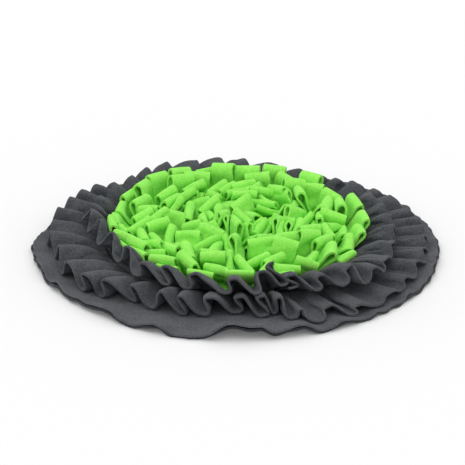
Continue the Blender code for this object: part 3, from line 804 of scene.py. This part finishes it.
# %% [markdown]
# The upper ruffle leans against the pile and holds its rim in.  A soft wall stands for it: a
# cone that leans outwards, steeper at the back, the left and the very front, and flatter at
# the right front.  On the far right strips stray over it, and on the near left they keep to it.

# %% Floor and wall
RIM_RADIUS = 136.0
RIM_SOFT = 0.25
RIM_SLOPE = 0.75
BACK_STEEPER = 0.5
LEFT_STEEPER = 0.30
FRONT_STEEPER = 0.15
FRONT_POWER = 4
CORNER_FLATTER = 0.8
RIM_STRAY = (-3.0, 9.0)
RIM_ORDER = 0.8
ORDER_WIDE = 1.4
STRAY_SIDE = 0.75

loose = 1 - RIM_ORDER * np.clip(-ORDER_WIDE * np.cos(outward - STRAY_SIDE), 0, 1)
rim_stray = np.repeat(random.uniform(*RIM_STRAY, STRIPS) * loose, ROWS * COLUMNS)
rise_of_point = np.tile(np.repeat(rise, COLUMNS), STRIPS)
print("wall: strays by", round(rim_stray.min(), 1), "to", round(rim_stray.max(), 1), "mm")


def keep_inside(points, free):
    """The backing is the floor; the wall's radius is RIM_RADIUS + stray * rise + slope *
    height, and a point outside it moves in by a share of what it is over."""
    points[:, 2] = np.maximum(points[:, 2], BACKING_TOP + CLOTH / 2 * free[:, 0])
    out = np.hypot(points[:, 0], points[:, 1])
    to_right, to_left = (np.clip(side * points[:, 0] / RIM_RADIUS, 0, 1) for side in (1, -1))
    to_back, to_front = (np.clip(side * points[:, 1] / RIM_RADIUS, 0, 1) for side in (1, -1))
    slope = (RIM_SLOPE - BACK_STEEPER * to_back - LEFT_STEEPER * to_left
             - FRONT_STEEPER * to_front ** FRONT_POWER
             + CORNER_FLATTER * (to_right * to_front))
    limit = RIM_RADIUS + rim_stray * rise_of_point + slope * (points[:, 2] - BACKING_TOP)
    over = np.clip(out - limit, 0, None) / out * RIM_SOFT * free[:, 0]
    points[:, :2] -= points[:, :2] * over[:, None]


# %% [markdown]
# Growing is a loop of small steps: each point goes on as before, a bit slower, and a bit with
# its wind, and then the pulls and pushes set it right.  Touching points are looked for at
# every fifth step only, a little beyond touching.  Points of one strip may touch too, where
# its two legs meet, but the push between them is off next to the root and along one leg.

# %% Growing the pile
BALL = 4.3
SELF_BALL = 3.2
BALL_MARGIN = 2.0
BALL_AT_START = 0.55
BALL_GROWTH = 0.45
GROW_STEPS = 260
ROUNDS = 3
FULL_SIZE_AT = 0.6
FORCE = 0.075
DRAG = 0.85
TOP_SPEED = 1.5
SEARCH_EVERY = 5
ROOT_ROWS = 2
FOLD_ROWS = 5


def grow():
    """Positions of all strips once they have grown: steps of motion, then rounds of links."""
    points = seedling.reshape(-1, 3).copy()
    before = points.copy()
    owner = np.repeat(np.arange(STRIPS), ROWS * COLUMNS)
    row = np.tile(np.repeat(np.arange(ROWS), COLUMNS), STRIPS)
    free = (np.minimum(row, ROWS - 1 - row) > 0).astype(float)[:, None]
    wind = np.repeat(lean, ROWS * COLUMNS, axis=0) * rise[row][:, None] * FORCE
    for step in range(GROW_STEPS):
        grown = min(step / GROW_STEPS / FULL_SIZE_AT, 1.0)
        size = SEEDLING + (1 - SEEDLING) * grown
        speed = (points - before) * DRAG
        pace = np.sqrt((speed ** 2).sum(1, keepdims=True)) + 1e-9
        before = points.copy()
        points += (speed * np.minimum(1, TOP_SPEED / pace) + wind) * free
        if step % SEARCH_EVERY == 0:
            one, other = near_pairs(points, BALL + BALL_MARGIN)
            same = owner[one] == owner[other]
            near_root = np.minimum(row[one], ROWS - 1 - row[one]) < ROOT_ROWS
            apart = np.abs(row[one] - row[other]) >= FOLD_ROWS
            keep = ~same | (apart & ~near_root)
            one, other = one[keep], other[keep]
            ball = np.where(same[keep], SELF_BALL, BALL)
        for _ in range(ROUNDS):
            for link in net:
                pull(points, link, size, free)
            push_apart(points, one, other, ball * (BALL_AT_START + BALL_GROWTH * grown), free)
            keep_inside(points, free)
    return points.reshape(seedling.shape) + [0.0, SEWN_BACK, 0.0]


grown = grow()
print("pile: top", round(grown[..., 2].max(), 1), "mm, radius",
      round(np.hypot(grown[..., 0], grown[..., 1]).max(), 1), "mm")

# %% [markdown]
# Fifteen points along a strip are enough to grow it, but its fold would look angular.  A
# Catmull-Rom spline through them gives nearly twice as many, and as it is the same for all,
# it is one table of weights, multiplied with all the strips at once.

# %% Smooth strips
SMOOTH_ROWS = 2 * ROWS - 1


def spline_weights(coarse, fine):
    """Matrix that takes points of a Catmull-Rom spline from coarse knots to fine steps."""
    place = np.linspace(0, coarse - 1, fine)
    knot = np.clip(place.astype(int), 0, coarse - 2)
    t = (place - knot)[:, None]
    cubic = np.hstack([-t + 2 * t ** 2 - t ** 3, 2 - 5 * t ** 2 + 3 * t ** 3,
                       t + 4 * t ** 2 - 3 * t ** 3, t ** 3 - t ** 2]) / 2
    weights = np.zeros((fine, coarse + 2))
    for offset in range(4):
        weights[np.arange(fine), knot + offset] += cubic[:, offset]
    inner = weights[:, 1:-1]
    inner[:, [0, 1]] += weights[:, [0]] * [2, -1]
    inner[:, [-1, -2]] += weights[:, [-1]] * [2, -1]
    return inner


def loop_strips(knots, material):
    """All strips as one mesh of separate sheets."""
    smooth = np.einsum("fk,skcx->sfcx", spline_weights(ROWS, SMOOTH_ROWS), knots)
    per_strip = SMOOTH_ROWS * COLUMNS
    quads = grid_faces(SMOOTH_ROWS, COLUMNS, closed=False)
    faces = (np.arange(STRIPS)[:, None, None] * per_strip + quads).reshape(-1, 4)
    cut_edge = np.zeros((STRIPS, SMOOTH_ROWS, COLUMNS))
    cut_edge[:, :, [0, -1]] = 1.0
    return cloth_object("loop_strips", smooth.reshape(-1, 3), faces.tolist(), cut_edge, material,
                        crisp=True)


strips = loop_strips(grown, green_fleece)

# %% [markdown]
# The strips are sewn to a plain round cloth of the same fleece.  It hardly shows between them,
# but without it one would look through the pile onto grey.

# %% Backing
BACKING_COLUMNS = 180
BACKING_RADII = np.array([45.0, 90.0, 125.0, BACKING_RADIUS])


def backing(material):
    """Flat disc in polar rings round one middle point, moved back with the sewn rings."""
    around = np.arange(BACKING_COLUMNS) * 2 * np.pi / BACKING_COLUMNS
    radius = BACKING_RADII[:, None]
    rings = np.stack([radius * np.cos(around), radius * np.sin(around) + SEWN_BACK,
                      np.full((len(radius), BACKING_COLUMNS), BACKING_TOP)], axis=-1)
    points = np.vstack([rings.reshape(-1, 3), [(0.0, SEWN_BACK, BACKING_TOP)]])
    faces = disc_faces(len(radius), BACKING_COLUMNS)
    return cloth_object("loop_backing", points, faces, np.zeros(len(points)), material,
                        offset=-1.0)


loop_backing = backing(green_fleece)

# %% [markdown]
# ## What each cloth stands for
# Every cloth takes the place of a solid of the imported model, which is hidden, and rides on
# its one body.

# %% Hang each cloth on the root body
PIECES = [(base_lower, "base_lower", "base_underside"),
          (base_upper, "base_upper", "grey_fleece"),
          (ruffle_lower, "ruffle_lower", "grey_fleece"),
          (ruffle_upper, "ruffle_upper", "grey_fleece"),
          (strips, "loop_pile", "green_fleece"),
          (loop_backing, "loop_pile", "green_fleece")]
for piece, node, slot in PIECES:
    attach(piece, "root")
    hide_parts(node)

width.mean() * MM
length.sum() * MM
print("sheets:", len(PIECES), "pieces of cloth on the body root")

# %% [markdown]
# ## Floor and light
# A studio sets small goods on white paper in a tent of white cloth.  A white floor without
# an edge in sight and an even white sky stand for them, and one very wide lamp above and to
# the left lights the mat.  So wide a lamp leaves only a soft shadow round the rim.  The floor
# glows a little by itself, so that it comes out white without more light on the mat.

# %% Studio
FLOOR_SIDE = 40.0
SKY = 0.99
KEY = 0.62
KEY_WIDTH = np.radians(55)
KEY_FROM = Vector((-0.4, 0.0, 1.0))
FLOOR_GLOW = 0.07
PAPER = 0.79

floor_mesh = bpy.data.meshes.new("floor")
half_side = FLOOR_SIDE / 2
floor_mesh.from_pydata([(-half_side, -half_side, 0), (half_side, -half_side, 0),
                        (half_side, half_side, 0), (-half_side, half_side, 0)], [], [(0, 1, 2, 3)])
floor = bpy.data.objects.new("floor", floor_mesh)
bpy.context.scene.collection.objects.link(floor)
paper = bpy.data.materials.new("white_paper")
paper.use_nodes = True
paper_shader = paper.node_tree.nodes["Principled BSDF"]
paper_shader.inputs["Base Color"].default_value = (PAPER, PAPER, PAPER, 1)
paper_shader.inputs["Roughness"].default_value = 0.9
paper_shader.inputs["Specular IOR Level"].default_value = 0.0
paper_shader.inputs["Emission Color"].default_value = (1, 1, 1, 1)
paper_shader.inputs["Emission Strength"].default_value = FLOOR_GLOW
floor_mesh.materials.append(paper)

world = bpy.data.worlds.new("sky")
bpy.context.scene.world = world
world.use_nodes = True
sky = world.node_tree.nodes["Background"]
sky.inputs["Color"].default_value = (1, 1, 1, 1)
sky.inputs["Strength"].default_value = SKY

key = bpy.data.objects.new("key", bpy.data.lights.new("key", "SUN"))
bpy.context.scene.collection.objects.link(key)
key.data.energy = KEY
key.data.angle = KEY_WIDTH
key.rotation_euler = KEY_FROM.to_track_quat("Z", "Y").to_euler()
bpy.context.scene.view_settings.view_transform = "Standard"
print("floor", FLOOR_SIDE, "m, sky", SKY, "key", KEY)
